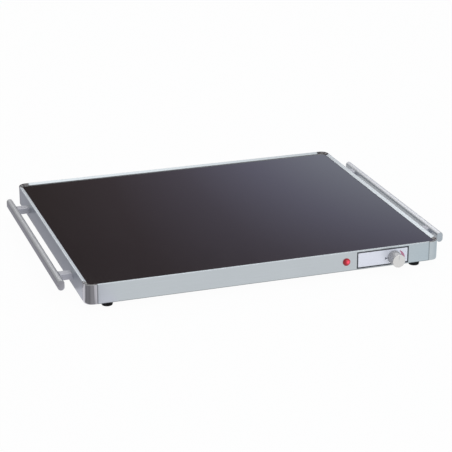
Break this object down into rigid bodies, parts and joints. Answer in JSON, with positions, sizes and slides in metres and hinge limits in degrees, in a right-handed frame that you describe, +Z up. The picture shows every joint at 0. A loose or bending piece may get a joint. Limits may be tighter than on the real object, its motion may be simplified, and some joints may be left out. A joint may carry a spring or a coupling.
{
  "type": "electric food warmer tray",
  "caption": "Low electric warming tray: a dark glass hot plate in an aluminium frame with side grip bars, a heat control knob and an indicator lamp.",
  "frame": {"origin": "middle of the whole footprint, on the surface that the feet stand on", "axes": "+X to the right seen from the control side, +Y from the control side to the back, +Z up"},
  "size_m": [0.6626, 0.5232, 0.0431],
  "materials": {
    "satin_aluminium": "satin anodised, brushed along the rail",
    "polished_corner": "polished casting",
    "bar_aluminium": "satin",
    "dark_glass": "gloss, opaque dark",
    "silicone": "matt",
    "sheet_aluminium": "mill",
    "cable_sheath": "matt",
    "insulation": "fibre felt",
    "plated_sheet": "zinc plated",
    "steel_screw": "zinc plated",
    "foot_rubber": "matt",
    "black_plastic": "fine texture",
    "scale_print": "printed, satin",
    "knob_metal": "turned satin",
    "pointer_ink": "matt",
    "spindle_steel": "plain",
    "ceramic_housing": "unglazed",
    "red_lens": "gloss, translucent",
    "lamp_glass": "clear",
    "brass_contact": "plain",
    "copper_tube": "plain",
    "white_wire": "matt",
    "brown_wire": "matt",
    "blue_wire": "matt",
    "earth_wire_sheath": "matt"
  },
  "bodies": {
    "tray": {"front_rail": "satin_aluminium", "rear_rail": "satin_aluminium", "left_rail": "satin_aluminium", "right_rail": "satin_aluminium", "front_left_corner": "polished_corner", "front_right_corner": "polished_corner", "rear_left_corner": "polished_corner", "rear_right_corner": "polished_corner", "corner_screws": "steel_screw", "glass_plate": "dark_glass", "glass_gasket": "silicone", "heat_spreader": "sheet_aluminium", "heating_cable": "cable_sheath", "insulation_mat": "insulation", "reflector_pan": "plated_sheet", "pan_supports": "plated_sheet", "base_plate": "plated_sheet", "base_screws": "steel_screw", "front_left_foot": "foot_rubber", "front_right_foot": "foot_rubber", "rear_left_foot": "foot_rubber", "rear_right_foot": "foot_rubber", "foot_screws": "steel_screw", "foot_nuts": "steel_screw", "left_grip_bar": "bar_aluminium", "right_grip_bar": "bar_aluminium", "left_front_post": "bar_aluminium", "left_rear_post": "bar_aluminium", "right_front_post": "bar_aluminium", "right_rear_post": "bar_aluminium", "handle_screws": "steel_screw", "panel_bezel": "black_plastic", "scale_plate": "scale_print", "thermostat_body": "ceramic_housing", "thermostat_washer": "steel_screw", "thermostat_nut": "brass_contact", "thermostat_terminals": "brass_contact", "sensor_bulb": "copper_tube", "capillary_tube": "copper_tube", "lamp_lens": "red_lens", "lamp_holder": "black_plastic", "lamp_clip": "steel_screw", "neon_tube": "lamp_glass", "inlet_housing": "black_plastic", "inlet_pins": "brass_contact", "inlet_screws": "steel_screw", "inlet_nuts": "steel_screw", "wire_connectors": "white_wire", "live_wire": "brown_wire", "neutral_wire": "blue_wire", "heater_wire": "white_wire", "earth_stud": "steel_screw", "earth_terminal": "brass_contact", "earth_nut": "steel_screw", "earth_wire": "earth_wire_sheath", "lamp_wires": "white_wire"},
    "knob": {"control_knob": "knob_metal", "knob_pointer": "pointer_ink", "thermostat_spindle": "spindle_steel"}
  },
  "joints": [
    {"name": "knob_turn", "type": "hinge", "parent": "tray", "child": "knob", "pos_m": [0.2178, -0.25035, 0.0244], "axis": [0, 1, 0], "range_deg": [-90, 120]}
  ]
}
